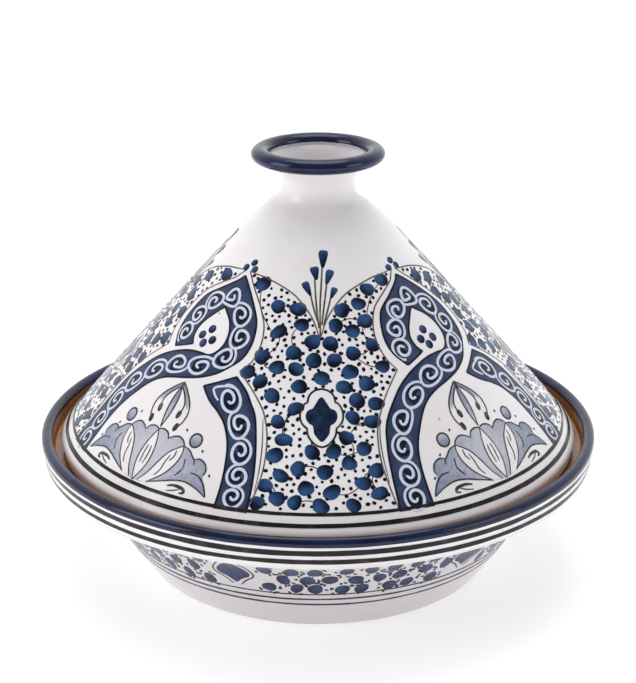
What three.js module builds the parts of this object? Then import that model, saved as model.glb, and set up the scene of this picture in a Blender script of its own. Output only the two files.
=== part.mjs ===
// A glazed earthenware tagine: a shallow dish with a flared collar,
// and a tall conical lid with a cup-shaped knob.
// Millimetres, +Z up. The origin is the centre of the foot ring, on the surface the dish stands on.

import * as THREE from "three";

// Dish: foot and bowl
const footRadius = 97; // outside of the foot ring
const footWidth = 6; // width of the ring, down to where it touches the table
const footRecess = 6; // depth of the hollow inside the foot ring
const floorThickness = 7;
const bowlWall = 7;
const bowlDepth = 53; // from the bowl's floor up to the ledge

// Dish: collar, rim and the ledge that the lid stands on
const rimRadius = 152.5; // outside of the rim, the widest place
const rimWidth = 6.2; // thickness of the rim
const rimRise = 10.8; // from the ledge to the top of the rim
const rimRound = 3; // height of the rim's rounded top
const collarDrop = 6.1; // from the ledge down to the collar's lower edge
const collarTaper = 2; // how much narrower the collar is at its lower edge
const ledgeWidth = 18.3;

// Lid: seat, cone and wall
const lidClearance = 4.9; // between the lid's edge and the rim, all round
const seatGap = 0.3; // between the lid's seat and the ledge
const seatWidth = 9.9; // thickness of the lid's lower edge
const skirtHeight = 7.6; // from the seat up to the start of the cone
const coneHeight = 112.1; // from the skirt up to the shoulder
const shoulderRadius = 42.8; // where the cone meets the shoulder
const lidWall = 7;
const ceilingRise = 9.5; // from the shoulder's height to the top of the lid's hollow

// Lid: shoulder, neck and cup-shaped knob
const shoulderRise = 24.5; // from the shoulder up to the narrowest place of the neck
const neckRadius = 20;
const neckRound = 5.5; // run of the hollow curve at the root of the neck
const neckRoundRise = 8.7; // height of that curve
const neckFlare = 16.7; // from the narrowest place up to the middle of the knob's lip
const lipRadius = 30.4; // middle of the rolled lip
const lipHalfWidth = 5.1;
const lipHalfHeight = 4;
const lipStartAngle = -127; // where the neck's outside runs into the lip, in degrees
const lipEndAngle = 200; // where the lip runs into the cup
const cupDepth = 21.2; // from the middle of the lip down to the cup's floor
const cupWall = 5; // wall between the cup and the narrowest place of the neck

// Roundings, and how finely the curves are divided
const edgeRound = 1.2;
const collarRound = 3;
const ledgeRound = 2;
const seatRound = 3.4;
const floorRound = 9;
const turnSteps = 48;
const curveSteps = 5;
const edgeSteps = 2;
const lipSteps = 10;

// Heights that follow from the sizes above
const bowlFloor = footRecess + floorThickness;
const ledge = bowlFloor + bowlDepth;
const rimTop = ledge + rimRise;
const collarBottom = ledge - collarDrop;
const seat = ledge + seatGap;
const coneFoot = seat + skirtHeight;
const shoulder = coneFoot + coneHeight;
const neck = shoulder + shoulderRise;
const lip = neck + neckFlare;

// Radii that follow from the sizes above
const footInside = footRadius - footWidth;
const rimInside = rimRadius - rimWidth;
const ledgeInside = rimInside - ledgeWidth;
const collarRadius = rimRadius - collarTaper;
const lidRadius = rimInside - lidClearance;
const seatInside = lidRadius - seatWidth;

function at(radius, height) {
  return new THREE.Vector2(radius, height);
}

function bend(steps, start, control, end) {
  return new THREE.QuadraticBezierCurve(start, control, end).getPoints(steps);
}

// Part of an ellipse, from one angle to another, in degrees
function roll(centre, halfWidth, halfHeight, startAngle, endAngle) {
  const start = THREE.MathUtils.degToRad(startAngle);
  const end = THREE.MathUtils.degToRad(endAngle);
  return new THREE.EllipseCurve(centre.x, centre.y, halfWidth, halfHeight, start, end).getPoints(lipSteps);
}

// The bowl's outside: steep above the foot, then sweeping out under the collar
function bowlCurve() {
  const start = at(footRadius, edgeRound);
  const end = at(collarRadius - collarRound, collarBottom - edgeRound);
  const rise = end.y - start.y;
  const steepPart = at(start.x + 0.42 * rise, start.y + 0.6 * rise);
  const flatPart = at(end.x - 0.42 * rise, end.y - 0.1 * rise);
  return new THREE.CubicBezierCurve(start, steepPart, flatPart, end);
}

// The bowl's inside, from the ledge down to the floor: the outside moved in by one wall
function bowlInside() {
  const outside = bowlCurve();
  const steps = 3 * curveSteps;
  const wall = [];
  for (let step = steps; step > 0; step -= 1) {
    const point = outside.getPoint(step / steps);
    const along = outside.getTangent(step / steps);
    const inner = at(point.x - along.y * bowlWall, point.y + along.x * bowlWall);
    const underLedge = inner.x < ledgeInside && inner.y < ledge - ledgeRound;
    if (underLedge && inner.y > bowlFloor + floorRound / 2) {
      wall.push(inner);
    }
  }
  const last = wall[wall.length - 1];
  const before = wall[wall.length - 2];
  const lean = (before.x - last.x) / (before.y - last.y);
  const turn = at(last.x - lean * (last.y - bowlFloor), bowlFloor);
  return [...wall, ...bend(curveSteps, last, turn, at(turn.x - floorRound, bowlFloor))];
}

// A rounded corner where an upright face meets a level one; run and rise may be negative
function corner(radius, height, run, rise) {
  return bend(edgeSteps, at(radius, height + rise), at(radius, height), at(radius + run, height));
}

function dishProfile() {
  const rimMiddle = at(rimRadius - rimWidth / 2, rimTop - rimRound);
  return [
    at(0, footRecess),
    at(footInside - footRecess, footRecess),
    at(footInside - edgeRound, edgeRound),
    at(footInside, 0),
    at(footRadius - edgeRound, 0),
    ...bowlCurve().getPoints(2 * curveSteps),
    ...corner(collarRadius, collarBottom, -edgeRound, edgeRound).reverse(),
    ...roll(rimMiddle, rimWidth / 2, rimRound, 0, 180),
    ...corner(rimInside, ledge, -ledgeRound, ledgeRound),
    ...corner(ledgeInside, ledge, edgeRound, -edgeRound).reverse(),
    ...bowlInside(),
    at(0, bowlFloor),
  ];
}

// A point on the inside of the lid's cone, which runs parallel to the outside
function coneInside(height) {
  const run = lidRadius - shoulderRadius;
  const wallAcross = lidWall * Math.hypot(run, coneHeight) / coneHeight;
  return at(lidRadius - wallAcross - run * (height - coneFoot) / coneHeight, height);
}

// The lid's hollow, from its ceiling down to the seat
function lidInside() {
  const ceilingEdge = coneInside(shoulder + edgeRound);
  const ceiling = shoulder + ceilingRise;
  const seatTop = coneInside(coneFoot);
  return [
    at(0, ceiling),
    ...bend(curveSteps, at(ceilingEdge.x / 3, ceiling), at(0.75 * ceilingEdge.x, ceiling), ceilingEdge),
    seatTop,
    at(seatInside, seatTop.y - ledgeRound),
    at(seatInside, seat + edgeRound),
    at(seatInside + edgeRound, seat),
  ];
}

// The lid's outside, from the seat up to where the neck runs into the lip
function lidOutside(lipStart) {
  const skirt = lidRadius - edgeRound / 2;
  const coneStart = at(lidRadius - edgeRound, coneFoot + edgeRound);
  const neckRoot = at(neckRadius + neckRound, neck - neckRoundRise);
  const crown = at(neckRadius + 1.9 * neckRound, neck - 1.4 * neckRoundRise);
  const narrowest = at(neckRadius, neck);
  return [
    ...bend(curveSteps, at(skirt - seatRound, seat), at(skirt, seat), at(skirt, seat + seatRound)),
    ...bend(edgeSteps, at(lidRadius, coneFoot - edgeRound), at(lidRadius, coneFoot), coneStart),
    ...bend(curveSteps, at(shoulderRadius, shoulder), crown, neckRoot),
    ...bend(curveSteps, neckRoot, at(neckRadius, neck - 0.7 * neckRoundRise), narrowest),
    ...bend(curveSteps, narrowest, at(neckRadius, neck + 0.42 * neckFlare), lipStart),
  ];
}

// The inside of the knob's cup, from the lip down to its floor
function cup(lipEnd) {
  const floor = lip - cupDepth;
  const throat = at(neckRadius - cupWall, neck);
  return [
    ...bend(curveSteps, lipEnd, at(throat.x + 1, neck + 0.48 * neckFlare), throat),
    ...bend(curveSteps, throat, at(throat.x, floor), at(throat.x - floorRound / 2, floor)),
    at(0, floor),
  ];
}

function lidProfile() {
  const lipRoll = roll(at(lipRadius, lip), lipHalfWidth, lipHalfHeight, lipStartAngle, lipEndAngle);
  return [...lidInside(), ...lidOutside(lipRoll[0]), ...lipRoll, ...cup(lipRoll[lipRoll.length - 1])];
}

// Turns a profile about the upright axis; points that fall on each other are taken once
function turned(profile) {
  const points = profile.filter((point, i) => i === 0 || point.distanceTo(profile[i - 1]) > 0.05);
  const geometry = new THREE.LatheGeometry(points, turnSteps);
  geometry.rotateX(Math.PI / 2);
  return geometry;
}

function glazed(name, profile, color) {
  const material = new THREE.MeshStandardMaterial({ color, roughness: 0.16, metalness: 0 });
  const mesh = new THREE.Mesh(turned(profile), material);
  mesh.name = name;
  return mesh;
}

const tagine = new THREE.Group();
tagine.add(glazed("dish", dishProfile(), 0xdcd8dd));
tagine.add(glazed("lid", lidProfile(), 0xe2dfe4));

export default tagine;
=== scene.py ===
"""A painted earthenware tagine: a dish and a conical lid in white glaze, with blue and black brushwork."""

import math
import random

import bmesh
import bpy
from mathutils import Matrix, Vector


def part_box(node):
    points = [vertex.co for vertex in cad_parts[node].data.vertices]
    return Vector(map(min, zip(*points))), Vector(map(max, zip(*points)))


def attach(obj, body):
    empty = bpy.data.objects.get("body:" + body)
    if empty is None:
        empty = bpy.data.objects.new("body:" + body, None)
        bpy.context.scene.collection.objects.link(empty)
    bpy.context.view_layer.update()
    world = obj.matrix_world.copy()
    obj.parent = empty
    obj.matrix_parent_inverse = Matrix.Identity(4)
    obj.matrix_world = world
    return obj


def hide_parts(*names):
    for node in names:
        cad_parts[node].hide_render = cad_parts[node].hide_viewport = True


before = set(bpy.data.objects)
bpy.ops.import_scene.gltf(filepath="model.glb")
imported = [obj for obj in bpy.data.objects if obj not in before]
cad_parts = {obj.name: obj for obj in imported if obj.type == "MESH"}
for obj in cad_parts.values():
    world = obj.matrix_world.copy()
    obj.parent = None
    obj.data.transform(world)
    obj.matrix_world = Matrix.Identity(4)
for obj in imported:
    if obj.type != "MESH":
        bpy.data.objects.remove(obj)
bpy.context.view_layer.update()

bl_info = {
    "name": "Painted tagine",
    "version": (1, 0, 0),
    "blender": (4, 5, 0),
    "location": "3D View > Sidebar > Tagine",
    "description": "Turns the glazed dish and lid and paints their rings, arches, flowers and leaves",
    "category": "Add Mesh",
}

MM = 0.001
DISH_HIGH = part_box("dish")[1]
LID_LOW, LID_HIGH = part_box("lid")

# Turned outlines, in millimetres from the axis and above the table
FOOT_RADIUS = 97
FOOT_WIDTH = 6
FOOT_RECESS = 6
BOWL_FLOOR = 13
BOWL_WALL = 7
LEDGE = LID_LOW[2] / MM - 0.3
LEDGE_WIDTH = 18.3
RIM_RADIUS = DISH_HIGH[0] / MM
RIM_TOP = DISH_HIGH[2] / MM
RIM_WIDTH = 6.2
RIM_ROUND = 3
RIM_INSIDE = RIM_RADIUS - RIM_WIDTH
COLLAR_RADIUS = RIM_RADIUS - 2
COLLAR_BOTTOM = LEDGE - 6.1
SEAT = LID_LOW[2] / MM
LID_RADIUS = LID_HIGH[0] / MM
SEAT_INSIDE = LID_RADIUS - 9.9
CONE_FOOT = SEAT + 7.6
SHOULDER = (42.8, CONE_FOOT + 112.1)
LID_WALL = 7
NECK_RADIUS = 20
NECK = SHOULDER[1] + 24.5
LIP_HALF = (5.1, 4)
LIP = (30.4, LID_HIGH[2] / MM - LIP_HALF[1])
CUP_FLOOR = LIP[1] - 21.2

# The painting on the lid: four arches with a leaf panel between each two
ARCHES = 4
ARCH_STEP = 360 / ARCHES
PANEL_TURN = 0.8


def ink(red, green, blue):
    """A colour given as on a paint chart, 0 to 255, in the linear values that a shader takes."""
    levels = [level / 255 for level in (red, green, blue)]
    return tuple(c / 12.92 if c <= 0.04045 else ((c + 0.055) / 1.055) ** 2.4 for c in levels)


def colour(name, description, *levels):
    """A colour that the user may change."""
    return bpy.props.FloatVectorProperty(name=name, description=description, subtype="COLOR",
                                         default=ink(*levels), min=0, max=1)


def length(name, description, millimetres):
    """A length that the user may change."""
    return bpy.props.FloatProperty(name=name, description=description, default=millimetres * MM,
                                   unit="LENGTH", min=0)


def amount(name, description, value):
    """A plain number that the user may change."""
    return bpy.props.FloatProperty(name=name, description=description, default=value, min=0)


class TagineBrush(bpy.types.PropertyGroup):
    """Sizes of the brushwork."""
    line: length("Dark line", "Width of the dark outlines of ribbons and petals", 1)
    fine_line: length("Fine line", "Width of the thin border lines and stems", 0.75)
    scroll: length("Scroll", "Width of the white scrolls on the ribbons", 1.6)
    leaf: length("Leaf", "Length of a leaf blob", 8.8)
    leaf_step: length("Leaf step", "Least distance between the centres of two leaves", 8.8)
    dot: length("Dot", "Width of the small black dots", 1.85)
    dot_step: length("Dot step", "Least distance between two small dots", 3.1)


class TagineColours(bpy.types.PropertyGroup):
    """Glazes and paints."""
    glaze: colour("White glaze", "The tin glaze where it is thick", 246, 244, 247)
    thin_glaze: colour("Thin glaze", "The tin glaze where the clay shows through it", 234, 222, 220)
    # Painted shade: the white glaze made greyer where the bowl lies under the collar and inside the knob's
    # cup
    shaded_glaze: colour("Shaded glaze", "The greyer tin glaze of the bowl and the knob's cup", 207, 204, 208)
    lip: colour("Lip", "The blue glaze on the rim and the knob's lip", 5, 12, 46)
    amber: colour("Amber glaze", "The clear glaze over bare clay on the ledge", 150, 98, 58)
    clay: colour("Clay", "The unglazed clay of the foot and seat", 196, 128, 92)
    leaf_dark: colour("Leaf, dark", "Blue where the brush left most paint", 5, 12, 32)
    leaf_light: colour("Leaf, light", "Blue where the brush ran dry", 52, 88, 138)
    ribbon_dark: colour("Ribbon, dark", "Ribbon blue at its darkest", 26, 36, 64)
    ribbon_light: colour("Ribbon, light", "Ribbon blue at its lightest", 76, 92, 128)
    scroll: colour("Scroll", "The pale lines left on the ribbons", 208, 215, 233)
    wash: colour("Petal wash", "The pale blue wash of the petals", 136, 144, 168)
    line: colour("Dark line", "The brown-black outlines and rings", 24, 20, 22)
    fine_line: colour("Fine line", "The thin olive brown lines", 76, 68, 56)
    dot: colour("Dot", "The small dots", 6, 8, 18)


class TagineStudio(bpy.types.PropertyGroup):
    """Camera and light."""
    distance: bpy.props.FloatProperty(name="Distance", description="From the pot's axis to the camera",
                                      default=0.88, unit="LENGTH")
    height: bpy.props.FloatProperty(name="Height", description="Camera above the table",
                                    default=0.4434, unit="LENGTH")
    tilt: bpy.props.FloatProperty(name="Tilt", description="How far the camera looks down",
                                  default=math.radians(20.1), subtype="ANGLE")
    lens: amount("Lens", "Focal length in millimetres", 90.1)
    daylight: amount("Daylight", "Strength of the even light", 0.56)
    key: amount("Key light", "Power of the window light at the left", 21.0)
    fill: amount("Fill light", "Power of the smaller window light at the right", 9.5)
    ceiling: amount("Ceiling light", "Power of the light overhead", 15.0)
    glow: amount("Table glow", "Light that the lit table gives", 0.37)


# ---------------------------------------------------------------- materials

class Value:
    """A value in a material. Sums and products of such values become Math nodes."""

    def __init__(self, finish, socket):
        self.finish = finish
        self.socket = socket

    def math(self, operation, first, second):
        return self.finish.node("ShaderNodeMath", {"operation": operation}, {0: first, 1: second})

    def __add__(self, other):
        return self.math("ADD", self, other)

    def __radd__(self, other):
        return self.math("ADD", other, self)

    def __sub__(self, other):
        return self.math("SUBTRACT", self, other)

    def __rsub__(self, other):
        return self.math("SUBTRACT", other, self)

    def __mul__(self, other):
        return self.math("MULTIPLY", self, other)

    def __rmul__(self, other):
        return self.math("MULTIPLY", other, self)

    def step(self, low, high):
        """0 below low, 1 above high, and a smooth rise between."""
        return self.finish.node("ShaderNodeMapRange", {"interpolation_type": "SMOOTHSTEP"},
                                {"Value": self, "From Min": low, "From Max": high})


class Finish:
    """A glossy fired finish, with its nodes."""

    def __init__(self, name, roughness=0.12, shine=0.4):
        self.material = bpy.data.materials.new(name)
        self.material.use_nodes = True
        self.tree = self.material.node_tree
        self.shader = self.tree.nodes["Principled BSDF"]
        self.shader.inputs["Roughness"].default_value = roughness
        self.shader.inputs["IOR"].default_value = 1.52
        self.shader.inputs["Specular IOR Level"].default_value = shine
        self.place = self.node("ShaderNodeTexCoord", output="Object")

    def node(self, kind, settings=None, inputs=None, output=0):
        node = self.tree.nodes.new(kind)
        for name, setting in (settings or {}).items():
            setattr(node, name, setting)
        for name, given in (inputs or {}).items():
            self.feed(node.inputs[name], given)
        return Value(self, node.outputs[output])

    def feed(self, socket, given):
        if isinstance(given, Value):
            self.tree.links.new(given.socket, socket)
        elif socket.type == "RGBA" and len(given) == 3:
            socket.default_value = (*given, 1)
        else:
            socket.default_value = given

    def noise(self, scale, detail=3.0, stretch=(1, 1, 1)):
        place = self.node("ShaderNodeMapping", None, {"Vector": self.place, "Scale": stretch})
        return self.node("ShaderNodeTexNoise", None, {"Vector": place, "Scale": scale, "Detail": detail})

    def brush(self, part):
        """How the brush went: 0 along the stroke, 1 across it, 2 the stroke's own shade."""
        stroke = self.node("ShaderNodeAttribute", {"attribute_name": "brush"}, output="Color")
        return self.node("ShaderNodeSeparateColor", None, {"Color": stroke}, output=part)

    def mix(self, first, second, amount):
        return self.node("ShaderNodeMix", {"data_type": "RGBA"}, {0: amount, 6: first, 7: second}, output=2)

    def paint(self, base):
        self.feed(self.shader.inputs["Base Color"], base)

    def ripple(self, depth=0.00006):
        """The glaze's own slow unevenness, and the faint rings that the potter's fingers left."""
        rings = self.noise(60, 1.0, (0.05, 0.05, 4))
        waves = self.noise(38, 2.0) + 0.25 * self.noise(170, 2.0) + 0.35 * rings
        bump = self.node("ShaderNodeBump", None, {"Height": waves, "Strength": 0.6, "Distance": depth * 10})
        self.feed(self.shader.inputs["Normal"], bump)
        gloss = self.shader.inputs["Roughness"].default_value
        self.feed(self.shader.inputs["Roughness"], gloss - 0.03 + 0.06 * self.noise(55, 2.0))


def white_glaze(name, thick, thin, thinning):
    """White tin glaze: slightly clouded, with a few pinholes, and thinner where thinning is nearer 1."""
    finish = Finish(name)
    clouds = finish.noise(22, 4.0).step(0.35, 0.7)
    pooled = finish.mix(thick, thin, thinning + 0.3 * clouds)
    holes = finish.node("ShaderNodeTexVoronoi", None, {"Vector": finish.place, "Scale": 62})
    rare = finish.noise(140, 1.0).step(0.56, 0.62)
    specks = rare * (1 - holes.step(0.035, 0.06))
    finish.paint(finish.mix(pooled, ink(140, 112, 96), 0.6 * specks))
    finish.ripple()
    return finish.material


def coloured_glaze(name, deep, thin, scale):
    """A coloured glaze that is paler where it ran thin."""
    finish = Finish(name, 0.14, 0.38)
    runs = finish.noise(scale, 4.0, (1, 1, 2.5)).step(0.35, 0.75)
    finish.paint(finish.mix(deep, thin, runs))
    finish.ripple()
    return finish.material


def bare_clay(name, clay):
    """Fired clay without glaze: dull and gritty."""
    finish = Finish(name, 0.8)
    grit = finish.noise(900, 3.0)
    finish.paint(finish.mix(clay, tuple(0.6 * c for c in clay), grit.step(0.4, 0.75)))
    bump = finish.node("ShaderNodeBump", None, {"Height": grit, "Strength": 0.5, "Distance": 0.0003})
    finish.feed(finish.shader.inputs["Normal"], bump)
    return finish.material


def brushed_blue(name, dark, light, streak):
    """Blue paint under the glaze: each stroke runs from dark to light, with brush streaks."""
    finish = Finish(name, shine=0.2)
    streaks = finish.noise(streak, 3.0)
    run = 0.95 * finish.brush(0) + 0.25 * finish.brush(2) + 0.7 * (streaks - 0.5)
    middle = 1 - 0.25 * finish.brush(1)
    finish.paint(finish.mix(dark, light, (run * middle).step(0.12, 1.02)))
    finish.ripple()
    return finish.material


def thin_paint(name, full, faded, streak):
    """Line paint under the glaze, fading here and there as the brush ran out."""
    finish = Finish(name, shine=0.2)
    faint = finish.noise(streak, 3.0).step(0.45, 0.8)
    finish.paint(finish.mix(full, faded, 0.6 * faint + 0.15 * finish.brush(2)))
    finish.ripple()
    return finish.material


def blend(first, second, amount):
    """A colour part of the way from one to another."""
    return tuple(a + (b - a) * amount for a, b in zip(first, second))


def make_finishes(colours):
    """All finishes of the pot, by name."""
    white, thin, shaded = colours.glaze, colours.thin_glaze, colours.shaded_glaze
    line, fine = colours.line, colours.fine_line
    recipes = {
        "white_glaze": (white_glaze, white, thin, 0.05),
        "thin_glaze": (white_glaze, white, thin, 0.6),
        # painted shade: the white glaze made greyer for the bowl under the collar and the inside of the
        # knob's cup
        "bowl_glaze": (white_glaze, shaded, blend(shaded, thin, 0.3), 0.3),
        "lip_glaze": (coloured_glaze, colours.lip, ink(16, 33, 80), 60),
        "amber_glaze": (coloured_glaze, colours.amber, ink(176, 122, 74), 45),
        "bare_clay": (bare_clay, colours.clay),
        "leaf_blue": (brushed_blue, colours.leaf_dark, colours.leaf_light, 260),
        "ribbon_blue": (brushed_blue, colours.ribbon_dark, colours.ribbon_light, 130),
        "ground_blue": (brushed_blue, ink(12, 17, 38), colours.ribbon_dark, 300),
        "scroll_white": (thin_paint, colours.scroll, blend(colours.scroll, white, 0.6), 200),
        "petal_wash": (brushed_blue, colours.wash, blend(colours.wash, white, 0.5), 420),
        "dark_line": (thin_paint, line, blend(line, white, 0.16), 260),
        "petal_line": (thin_paint, ink(44, 40, 44), blend(line, white, 0.3), 260),
        "ring_line": (thin_paint, line, blend(line, white, 0.07), 120),
        # the band's own deep blue, made darker still as painted shade of the bowl under the collar
        "band_blue": (brushed_blue, ink(4, 13, 42), ink(26, 58, 112), 260),
        "fine_line": (thin_paint, fine, blend(fine, white, 0.3), 260),
        "dot_black": (thin_paint, colours.dot, ink(36, 46, 84), 300),
    }
    return {name: maker(name, *paints) for name, (maker, *paints) in recipes.items()}


FINISHES = {}


def finish_of(name):
    if not FINISHES:
        FINISHES.update(make_finishes(bpy.context.scene.tagine_colours))
    return FINISHES[name]


# ---------------------------------------------------------------- curves in a plane

def bend(start, control, end, steps=8):
    """A curve from start to end that heads for control first."""
    points = []
    for step in range(steps + 1):
        t = step / steps
        weights = ((1 - t) ** 2, 2 * t * (1 - t), t * t)
        corners = (start, control, end)
        points.append(tuple(sum(w * p[axis] for w, p in zip(weights, corners)) for axis in (0, 1)))
    return points


def sweep(start, start_control, end_control, end, steps=24):
    """A curve with a control point for each end."""
    points = []
    for step in range(steps + 1):
        t = step / steps
        weights = ((1 - t) ** 3, 3 * t * (1 - t) ** 2, 3 * t * t * (1 - t), t ** 3)
        corners = (start, start_control, end_control, end)
        points.append(tuple(sum(w * p[axis] for w, p in zip(weights, corners)) for axis in (0, 1)))
    return points


def roll(centre, half, first, last, steps=20):
    """Part of an ellipse, from one angle to another, in degrees."""
    angles = [math.radians(first + (last - first) * step / steps) for step in range(steps + 1)]
    return [(centre[0] + half[0] * math.cos(a), centre[1] + half[1] * math.sin(a)) for a in angles]


def smooth(points, per_span=6):
    """A smooth curve through given points, each a pair or a longer row of numbers."""
    curve = []
    for i in range(len(points) - 1):
        before = points[max(i - 1, 0)]
        after = points[min(i + 2, len(points) - 1)]
        for step in range(per_span):
            t = step / per_span
            curve.append(tuple(
                b + 0.5 * t * (c - a + t * (2 * a - 5 * b + 4 * c - d + t * (3 * b - a - 3 * c + d)))
                for a, b, c, d in zip(before, points[i], points[i + 1], after)))
    curve.append(tuple(points[-1]))
    return curve


def resampled(path, count):
    """count points evenly spaced along a path."""
    marks = [0.0]
    for a, b in zip(path, path[1:]):
        marks.append(marks[-1] + math.dist(a, b))
    spread = []
    piece = 0
    for step in range(count):
        want = marks[-1] * step / (count - 1)
        while piece < len(path) - 2 and marks[piece + 1] < want:
            piece += 1
        span = marks[piece + 1] - marks[piece]
        t = (want - marks[piece]) / span if span else 0
        spread.append(tuple(a + (b - a) * t for a, b in zip(path[piece], path[piece + 1])))
    return spread


# ---------------------------------------------------------------- turned pieces

def bowl_outside():
    """The bowl's outline: steep above the foot, then sweeping out under the collar."""
    start = (FOOT_RADIUS, 1.2)
    end = (COLLAR_RADIUS - 3, COLLAR_BOTTOM - 1.2)
    rise = end[1] - start[1]
    steep = (start[0] + 0.42 * rise, start[1] + 0.6 * rise)
    flat = (end[0] - 0.42 * rise, end[1] - 0.1 * rise)
    return sweep(start, steep, flat, end, 36)


def bowl_inside():
    """The bowl's inside, from the ledge down to the floor: the outside moved in by one wall."""
    wall = []
    outside = bowl_outside()
    for low, high in zip(outside, outside[1:]):
        run, rise = high[0] - low[0], high[1] - low[1]
        size = math.hypot(run, rise)
        point = (low[0] - rise / size * BOWL_WALL, low[1] + run / size * BOWL_WALL)
        if point[1] > BOWL_FLOOR + 4.5 and point[0] < RIM_INSIDE - LEDGE_WIDTH and point[1] < LEDGE - 2:
            wall.append(point)
    wall.reverse()
    last, before = wall[-1], wall[-2]
    lean = (before[0] - last[0]) / (before[1] - last[1])
    turn = (last[0] - lean * (last[1] - BOWL_FLOOR), BOWL_FLOOR)
    return wall + bend(last, turn, (turn[0] - 9, BOWL_FLOOR))


def dish_stretches():
    """The dish's outline from the middle of its underside to the middle of its floor, glaze by glaze."""
    foot_inside = FOOT_RADIUS - FOOT_WIDTH
    ledge_inside = RIM_INSIDE - LEDGE_WIDTH
    rim_middle = (RIM_RADIUS - RIM_WIDTH / 2, RIM_TOP - RIM_ROUND)
    rim_half = (RIM_WIDTH / 2, RIM_ROUND)
    collar_edge = bend((COLLAR_RADIUS - 1.6, COLLAR_BOTTOM - 0.3), (COLLAR_RADIUS, COLLAR_BOTTOM),
                       (COLLAR_RADIUS + 0.2, COLLAR_BOTTOM + 1.6), 5)
    blue_edge = RIM_TOP - 4.1
    blue_start = (RIM_RADIUS - 0.1, blue_edge)
    return [
        ("white_glaze", [(0, FOOT_RECESS), (40, FOOT_RECESS), (foot_inside - 7, FOOT_RECESS)]
         + bend((foot_inside - 6, FOOT_RECESS), (foot_inside - 4, FOOT_RECESS), (foot_inside - 1.2, 1.2), 5)),
        ("bare_clay", [(foot_inside, 0), (foot_inside + 2.5, 0), (FOOT_RADIUS - 1.2, 0)]),
        # the bowl's outside, under the collar, takes the greyer glaze of painted shade
        ("bowl_glaze", bowl_outside() + collar_edge[:2]),
        ("thin_glaze", collar_edge[2:]),
        ("white_glaze", [(COLLAR_RADIUS + 0.6, COLLAR_BOTTOM + 4), (COLLAR_RADIUS + 1.2, COLLAR_BOTTOM + 9),
                         (RIM_RADIUS - 0.15, blue_edge - 0.8), blue_start]),
        ("lip_glaze", roll(rim_middle, rim_half, 0, 180) + [(RIM_INSIDE, RIM_TOP - 3.8)]),
        ("amber_glaze", bend((RIM_INSIDE, LEDGE + 2), (RIM_INSIDE, LEDGE), (RIM_INSIDE - 2, LEDGE), 4)
         + [(ledge_inside + 8, LEDGE)]
         + bend((ledge_inside + 1.2, LEDGE), (ledge_inside, LEDGE), (ledge_inside, LEDGE - 1.2), 4)),
        ("white_glaze", bowl_inside() + [(60, BOWL_FLOOR), (30, BOWL_FLOOR), (0, BOWL_FLOOR)]),
    ]


def cone_inside(height):
    """A point on the inside of the lid's cone, at a height."""
    run = LID_RADIUS - SHOULDER[0]
    rise = SHOULDER[1] - CONE_FOOT
    across = LID_WALL * math.hypot(run, rise) / rise
    return (LID_RADIUS - across - run * (height - CONE_FOOT) / rise, height)


def lid_stretches():
    """The lid's outline from the top of its hollow, round its edge and up, to the floor of the knob's cup."""
    ceiling = cone_inside(SHOULDER[1] + 1.2)
    top = SHOULDER[1] + 9.5
    seat_top = cone_inside(CONE_FOOT)
    skirt = LID_RADIUS - 0.6
    cone = [(LID_RADIUS - 1.3, CONE_FOOT + 1.35)]
    rings = 14
    for ring in range(1, rings + 1):
        t = ring / rings
        cone.append((LID_RADIUS + (SHOULDER[0] - LID_RADIUS) * t, CONE_FOOT + (SHOULDER[1] - CONE_FOOT) * t))
    root = (NECK_RADIUS + 5.5, NECK - 8.7)
    lip = roll(LIP, LIP_HALF, -125, 182, 36)
    cup_edge = roll(LIP, LIP_HALF, 185, 200, 3)
    throat = (NECK_RADIUS - 5, NECK)
    return [
        ("white_glaze", [(0, top)] + bend((ceiling[0] / 3, top), (0.75 * ceiling[0], top), ceiling, 10)
         + [cone_inside(150), cone_inside(120), cone_inside(95), seat_top, (SEAT_INSIDE, seat_top[1] - 2),
            (SEAT_INSIDE, SEAT + 1.2)]),
        ("bare_clay", [(SEAT_INSIDE + 1.2, SEAT), (SEAT_INSIDE + 4, SEAT), (skirt - 3.4, SEAT)]),
        ("thin_glaze", bend((skirt - 3.4, SEAT), (skirt, SEAT), (skirt, SEAT + 3.4))
         + bend((LID_RADIUS, CONE_FOOT - 1.2), (LID_RADIUS, CONE_FOOT), cone[0], 5)),
        ("white_glaze", cone + bend(SHOULDER, (NECK_RADIUS + 10.5, NECK - 12.2), root, 10)
         + bend(root, (NECK_RADIUS, NECK - 6.1), (NECK_RADIUS, NECK), 10)
         + bend((NECK_RADIUS, NECK), (NECK_RADIUS, NECK + 7), lip[0], 10)),
        ("lip_glaze", lip),
        # the inside of the knob's cup takes the greyer glaze of painted shade
        ("bowl_glaze", cup_edge + bend(cup_edge[-1], (throat[0] + 1, NECK + 8), throat, 10)
         + bend(throat, (throat[0], CUP_FLOOR), (throat[0] - 4.5, CUP_FLOOR), 8) + [(0, CUP_FLOOR)]),
    ]


TURN_STEPS = 288


def wander(theta, seed, size):
    """The unsteadiness of a hand-drawn ring, in millimetres, at an angle in degrees."""
    turn = math.radians(theta)
    waves = ((2, 0.5), (3, 0.4), (7, 0.3), (13, 0.25), (29, 0.2), (47, 0.15))
    return size * sum(part * math.sin(count * turn + seed * (count + 1.7)) for count, part in waves)


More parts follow.
